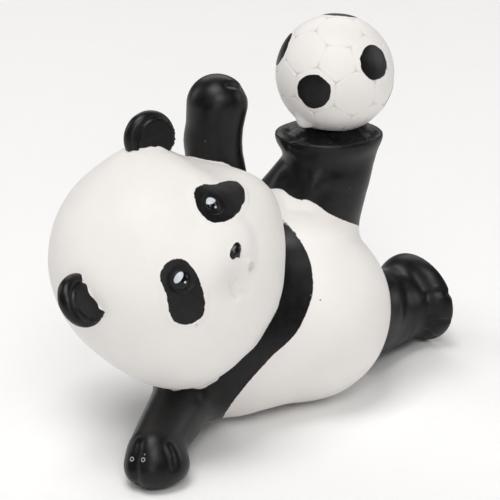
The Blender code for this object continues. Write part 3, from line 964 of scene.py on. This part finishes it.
def head_shell():
    points, faces = remeshed(HEAD, HEAD_VOXEL)
    points, outward = settled(points, head_surface, HEAD_VOXEL)
    left_patch, right_patch = (Region(head_surface, pixels).depth(points)
                               for pixels in (LEFT_PATCH, RIGHT_PATCH))
    patches = np.maximum(left_patch, right_patch) + waves(points, PATCH_WAVES)
    nose = Region(head_surface, NOSE).depth(points)

    height = waves(points, HEAD_WAVES) + carving(head_surface, points, HEAD_LINES, HEAD_SPOTS)
    height += PATCH_HEIGHT * smooth(patches, -1.25, -0.75)
    height += NOSE_HEIGHT * smooth(nose, -0.25, 0.95)
    for eye, radius in zip(EYES, EYE_GROOVE_RADII):
        away = away_from(head_surface, points, eye[0]) / MM
        height -= EYE_GROOVE_DEPTH * ring(away, radius, EYE_GROOVE_WIDTH)
    away = away_from(head_surface, points, DIMPLE) / MM
    height -= DIMPLE_DEPTH * ring(away, 0.0, DIMPLE_RADIUS)
    height += DIMPLE_LIP_HEIGHT * ring(away, DIMPLE_LIP_RADIUS, DIMPLE_LIP_WIDTH)

    # Painted shade: a dark ring round the mouth's dimple, a soft shadow under the muzzle and a darker
    # spot round the pinhole at the lower patch's edge
    painted_shade = DIMPLE_PAINTED_SHADE * ring(away, DIMPLE_RADIUS, 0.3)
    for pixel, width, share in (MUZZLE_PAINTED_SHADOW, PATCH_PINHOLE_PAINTED_SHADE):
        painted_shade += share * spot_on(head_surface, points, pixel, width * MM)
    black = np.maximum(patches, nose)
    gloss = 0.6 * smooth(nose, -0.1, 0.2)
    return Shell(points + outward * height[:, None] * MM, faces, black=black, gloss=gloss,
                 painted_shade=painted_shade)


def ear_shells():
    """Ears with a flat pad toward the face and a thick round rim toward the crown."""
    shells = []
    for plate in EAR_PLATES:
        points, faces = remeshed([(plate, 0.0)], EAR_VOXEL)
        points, outward = settled(points, plate.padded, EAR_VOXEL)
        local = (points - plate.centre) @ plate.axes
        across = plate.beyond_pad(local) / MM
        front = smooth(local[:, 2] / MM, 0.0, 0.8)
        height = waves(points, EAR_WAVES) - EAR_GROOVE_DEPTH * front * hump(across - 0.25, 0.6)
        black = head_surface(points) / MM - EAR_EDGE_OUT - waves(points, EAR_EDGE_WAVES)
        gloss = 0.1 * smooth(across, 0.0, 0.6)
        points = points + outward * height[:, None] * MM
        shells.append(Shell(points, faces, black=black, gloss=gloss))
    return shells


def eye_shell(pixel, radii, shine_place, shine_radii, shine_turn, dot_place):
    """Glossy dome with a pale oval and a dot painted on it."""
    centre = seen(head_surface, pixel)[0]
    outward = unit(slope_of(head_surface, centre[None], 0.05 * MM)[1][0])
    directions, faces = cube_sphere(EYE_GRID)
    points = centre - outward * EYE_SINK + directions * np.array(radii) * MM @ CAMERA_AXES.T
    place = pixels_of(points)
    turn = radians(shine_turn)
    spin = np.array([[np.cos(turn), -np.sin(turn)], [np.sin(turn), np.cos(turn)]])
    oval = np.linalg.norm(((place - shine_place) @ spin) / shine_radii, axis=1)
    dot = np.linalg.norm(place - dot_place, axis=1)
    shine = np.maximum((1.0 - oval) * min(shine_radii), DOT_RADIUS - dot) * PIXEL / MM
    shine = np.where((points - centre) @ outward > -0.8 * MM, shine, -1.0)
    return Shell(points, faces, black=np.full(len(points), 5.0), gloss=np.ones(len(points)),
                 shine=shine)


# The football

# The football's pattern as the photograph shows it, in the camera's own axes: the middle
# of the pentagon that faces the camera, a corner of it, and three of the black panels
FACING_PENTAGON = (0.008, 0.098, 0.995)
PENTAGON_CORNER = (-0.022, -0.252, 0.967)
BLACK_PANELS = ((-0.39, -0.38, 0.84), (0.64, 0.12, 0.76), (-0.90, 0.40, 0.16))


def icosahedron():
    """Corners of an icosahedron on the unit sphere."""
    golden = (1 + sqrt(5)) / 2
    corners = []
    for first in (-1, 1):
        for second in (-golden, golden):
            corners += [(0, first, second), (first, second, 0), (second, 0, first)]
    return np.array([unit(corner) for corner in corners])


def football_pattern():
    """Seams as pairs of ends, and the middles of the black panels, on the unit sphere.

    The seams cut each of an icosahedron's corners off as a pentagon. Black are those
    eight hexagons whose middles are the corners of a cube. The three that the photograph
    shows are black where it has them.
    """
    poles = icosahedron()
    order = np.argsort(-(poles @ poles[0]))
    model = axes_from(poles[0], poles[order[1]])
    shown = axes_from(CAMERA_AXES @ unit(FACING_PENTAGON), CAMERA_AXES @ unit(PENTAGON_CORNER))
    poles = poles @ model @ shown.T
    beside = poles @ poles.T > 0.4
    np.fill_diagonal(beside, False)

    seams, hexagons = [], []
    for a in range(len(poles)):
        for b in np.nonzero(beside[a])[0]:
            if a < b:
                seams.append((unit(2 * poles[a] + poles[b]), unit(poles[a] + 2 * poles[b])))
            for c in np.nonzero(beside[a] & beside[b])[0]:
                if b < c:
                    seams.append((unit(2 * poles[a] + poles[b]), unit(2 * poles[a] + poles[c])))
                    if a < b:
                        hexagons.append(unit(poles[a] + poles[b] + poles[c]))
    hexagons = np.array(hexagons)
    painted = [CAMERA_AXES @ unit(panel) for panel in BLACK_PANELS]
    nearest = np.array([hexagons[np.argmax(hexagons @ panel)] for panel in painted])
    hidden = []
    for panel in hexagons:
        across = panel @ nearest.T
        on_cube = np.minimum(abs(abs(across) - 1 / 3), abs(abs(across) - 1)) < 0.01
        if on_cube.all() and across.max() < 0.99:
            hidden.append(panel)
    return seams, np.array(hidden + painted)


def ball_surface(points):
    return np.linalg.norm(points - ball_centre(), axis=1) - BALL_RADIUS


def football_shell():
    """Ball with engraved seams, and with drips of white resin where it was joined on."""
    seams, panels = football_pattern()

    directions, faces = cube_sphere(BALL_GRID)
    seam = pairs_distance(directions, seams) * BALL_RADIUS / MM
    off = np.degrees(np.arccos(np.clip((directions @ panels.T).max(axis=1), -1, 1)))
    places = directions * BALL_RADIUS
    black = radians(1) * (PANEL_ANGLE + waves(places, PANEL_WAVES) - off) * BALL_RADIUS / MM
    height = -SEAM_DEPTH * ring(seam, 0.0, SEAM_WIDTH) * smooth(black, 0.6, -0.2)
    height += PANEL_HEIGHT * smooth(black, -0.1, 0.15) + waves(places, BALL_WAVES)
    height += carving(ball_surface, ball_centre() + places, (), BALL_SPOTS)
    # Painted shade along the engraved seams, made uneven by soft waves
    painted_shade = SEAM_PAINTED_SHADE * ring(seam, 0.0, SEAM_PAINTED_SHADE_WIDTH) * (0.75 + waves(places, SEAM_PAINTED_SHADE_WAVES))
    points = ball_centre() + directions * (BALL_RADIUS + height * MM)[:, None]
    return Shell(points, faces, black=black, painted_shade=np.clip(painted_shade, 0, 1))


# Materials

class Nodes:
    """Short hand for building a node tree."""

    def __init__(self, name):
        self.material = bpy.data.materials.new(name)
        self.material.use_nodes = True
        self.tree = self.material.node_tree
        self.shader = self.tree.nodes["Principled BSDF"]

    def node(self, kind, inputs=None, **settings):
        node = self.tree.nodes.new(kind)
        for key, value in settings.items():
            setattr(node, key, value)
        for key, value in (inputs or {}).items():
            self.put(node.inputs[key], value)
        return node

    def put(self, socket, value):
        if isinstance(value, bpy.types.NodeSocket):
            self.tree.links.new(value, socket)
        else:
            socket.default_value = value

    def value(self, name):
        """The paint value of that name, as stored on the mesh."""
        return self.node("ShaderNodeAttribute", attribute_name=name).outputs["Fac"]

    def math(self, operation, first, second=0.0, third=0.0):
        node = self.node("ShaderNodeMath", {0: first, 1: second, 2: third}, operation=operation)
        return node.outputs[0]

    def step(self, value, low, high):
        """From 0 at low to 1 at high."""
        node = self.node("ShaderNodeMapRange", {"Value": value, "From Min": low, "From Max": high},
                         interpolation_type="SMOOTHSTEP")
        return node.outputs["Result"]

    def noise(self, per_mm, detail=3.0, roughness=0.55):
        """Noise with that many waves to a millimetre."""
        place = self.node("ShaderNodeTexCoord").outputs["Object"]
        node = self.node("ShaderNodeTexNoise", {"Vector": place, "Scale": per_mm / MM, "Detail": detail,
                                                "Roughness": roughness})
        return node.outputs["Fac"]

    def nearest(self, places):
        """Millimetres to the nearest of these places."""
        here = self.node("ShaderNodeTexCoord").outputs["Object"]
        result = None
        for place in places:
            away = self.node("ShaderNodeVectorMath", {0: here, 1: tuple(place)}, operation="DISTANCE")
            away = self.math("MULTIPLY", away.outputs["Value"], 1 / MM)
            result = away if result is None else self.math("MINIMUM", result, away)
        return result

    def mix(self, share, first, second):
        node = self.node("ShaderNodeMix", data_type="RGBA")
        self.put(node.inputs[0], share)
        for socket, colour in ((node.inputs[6], first), (node.inputs[7], second)):
            self.put(socket, (*colour, 1.0) if isinstance(colour, tuple) else colour)
        return node.outputs[2]

    def less(self, value, low, high):
        """From 1 at low to 0 at high."""
        return self.math("SUBTRACT", 1.0, self.step(value, low, high))


def casting_paint(ringed_pinholes, pinholes, specks):
    """White resin with brushed black paint, both chosen by the mesh's values."""
    n = Nodes("painted_resin")
    fine = n.noise(1.6)
    broad = n.noise(0.12, 4.0)
    middle = n.noise(0.55, 3.0)

    # The black's border wanders a little, as a brush leaves it
    wander = n.math("MULTIPLY_ADD", fine, 0.28, -0.14)
    edge = n.math("ADD", n.value("black"), wander)
    black = n.step(edge, -0.07, 0.07)

    white_colour = n.mix(n.step(broad, 0.35, 0.65), WHITE_LIGHT, WHITE_DARK)
    # Painted shade darkens the white in grooves, hollows, the dimple, under the muzzle and in the
    # ball's seams
    white_colour = n.mix(n.math("MULTIPLY", n.value("painted_shade"), 0.55), white_colour, PAINTED_SHADE_COLOUR)
    black_colour = n.mix(n.step(middle, 0.35, 0.7), BLACK_DARK, BLACK_LIGHT)
    dust = n.step(n.noise(1.1, 6.0, 0.7), 0.70, 0.78)
    black_colour = n.mix(n.math("MULTIPLY", dust, 0.10), black_colour, DUST_COLOUR)
    colour = n.mix(black, white_colour, black_colour)
    ringed, plain, speck = (n.nearest(places) for places in (ringed_pinholes, pinholes, specks))
    # Pinholes: a dark core of painted shade, and a pale ring round the ringed ones
    pinhole_shade = n.less(n.math("MINIMUM", ringed, plain), 0.14, 0.30)
    rim = n.math("MULTIPLY", n.step(ringed, 0.28, 0.38), n.less(ringed, 0.46, 0.60))
    pale = n.math("MAXIMUM", n.math("MULTIPLY", rim, 0.8), n.less(speck, 0.10, 0.26))
    colour = n.mix(pale, colour, PALE_CHIP)
    colour = n.mix(pinhole_shade, colour, PINHOLE_PAINTED_SHADE)
    colour = n.mix(n.step(n.value("shine"), -0.05, 0.05), colour, SHINE_COLOUR)
    n.put(n.shader.inputs["Base Color"], colour)

    dull = n.math("MULTIPLY_ADD", middle, 0.16, SMOOTHEST_BLACK)
    chalk = n.math("MULTIPLY_ADD", middle, 0.14, SMOOTHEST_WHITE)
    rough = n.node("ShaderNodeMix", {0: black, 2: chalk, 3: dull}).outputs[0]
    rough = n.node("ShaderNodeMix", {0: n.value("gloss"), 2: rough, 3: GLOSSY}).outputs[0]
    n.put(n.shader.inputs["Roughness"], rough)
    n.put(n.shader.inputs["Specular IOR Level"], SPECULAR_LEVEL)

    # Height in metres: brushed film over a faintly pitted casting
    film = n.math("MULTIPLY", n.step(edge, -0.16, 0.16), FILM_HEIGHT)
    film = n.math("MULTIPLY_ADD", fine, GRAIN_HEIGHT, film)
    film = n.math("MULTIPLY_ADD", middle, CAST_HEIGHT, film)
    pits = n.step(n.noise(0.9, 2.0), 0.74, 0.80)
    film = n.math("MULTIPLY_ADD", pits, -PIT_DEPTH, film)
    bump = n.node("ShaderNodeBump", {"Strength": 0.8, "Distance": 1.0, "Height": film})
    n.put(n.shader.inputs["Normal"], bump.outputs["Normal"])
    return n.material


def plain_floor():
    bm = bmesh.new()
    bmesh.ops.create_grid(bm, x_segments=8, y_segments=8, size=FLOOR_SIZE)
    mesh = bpy.data.meshes.new("floor")
    bm.to_mesh(mesh)
    bm.free()
    n = Nodes("floor_white")
    n.put(n.shader.inputs["Base Color"], n.mix(n.noise(0.05), FLOOR_DARK, FLOOR_LIGHT))
    n.put(n.shader.inputs["Roughness"], 0.8)
    mesh.materials.append(n.material)
    add_object("floor", mesh)


def aim(obj, place, target):
    obj.location = Vector(place)
    obj.rotation_mode = "QUATERNION"
    obj.rotation_quaternion = (Vector(target) - Vector(place)).to_track_quat("-Z", "Y")


def area_light(name, place, target, size, watts):
    light = bpy.data.lights.new(name, "AREA")
    light.shape = "RECTANGLE"
    light.size, light.size_y = size
    light.energy = watts
    light.color = LIGHT_COLOUR
    aim(add_object(name, light), place, target)


def studio():
    scene = bpy.context.scene
    scene.view_settings.view_transform = "Standard"
    world = bpy.data.worlds.new("studio")
    scene.world = world
    world.use_nodes = True
    backdrop = world.node_tree.nodes["Background"]
    backdrop.inputs["Color"].default_value = (1.0, 1.0, 1.0, 1.0)
    backdrop.inputs["Strength"].default_value = WORLD_STRENGTH

    middle = TARGET + SHIFT
    for name, offset, size, watts in (
            ("overhead", UP * 1.10 + CAMERA_BACK * 0.30 - CAMERA_RIGHT * 0.20, (0.60, 0.60), 8.8),
            ("behind", UP * 0.90 - CAMERA_BACK * 0.90, (0.90, 0.50), 2.6),
            ("front", CAMERA_BACK * 0.80 + CAMERA_UP * 0.32 + CAMERA_RIGHT * 0.08, (0.34, 0.30), 2.3),
            ("glint", CAMERA_BACK * 0.85 - CAMERA_UP * 0.12 - CAMERA_RIGHT * 0.02, (0.16, 0.16), 0.6),
            ("right", CAMERA_RIGHT * 0.68 + CAMERA_UP * 0.30 - CAMERA_BACK * 0.05, (0.40, 0.35), 1.0),
            ("left", -CAMERA_RIGHT * 0.70 + CAMERA_UP * 0.40 - CAMERA_BACK * 0.15, (0.16, 0.45), 0.9)):
        area_light(name, middle + offset, middle, size, watts)

    camera_data = bpy.data.cameras.new("photo_camera")
    camera_data.sensor_width = SENSOR
    camera_data.lens = FOCAL_PIXELS / PHOTO_SIZE * SENSOR
    camera_data.clip_end = 20.0
    camera = add_object("photo_camera", camera_data)
    camera.matrix_world = place_matrix(EYE + SHIFT, CAMERA_AXES, (1, 1, 1))
    scene.camera = camera


def main():
    body = body_shell()
    head = [head_shell()] + ear_shells() + [eye_shell(*eye) for eye in EYES]
    ball = football_shell()

    skin = np.vstack([shell.points for shell in [body] + head])
    paint = casting_paint(*(on_mesh(skin, pixels) for pixels in (RINGED_PINHOLES, PINHOLES, SPECKS)))
    build_piece("panda_body", [body], paint)
    build_piece("panda_head", head, paint)
    build_piece("football", [ball], paint)
    plain_floor()
    studio()


main()
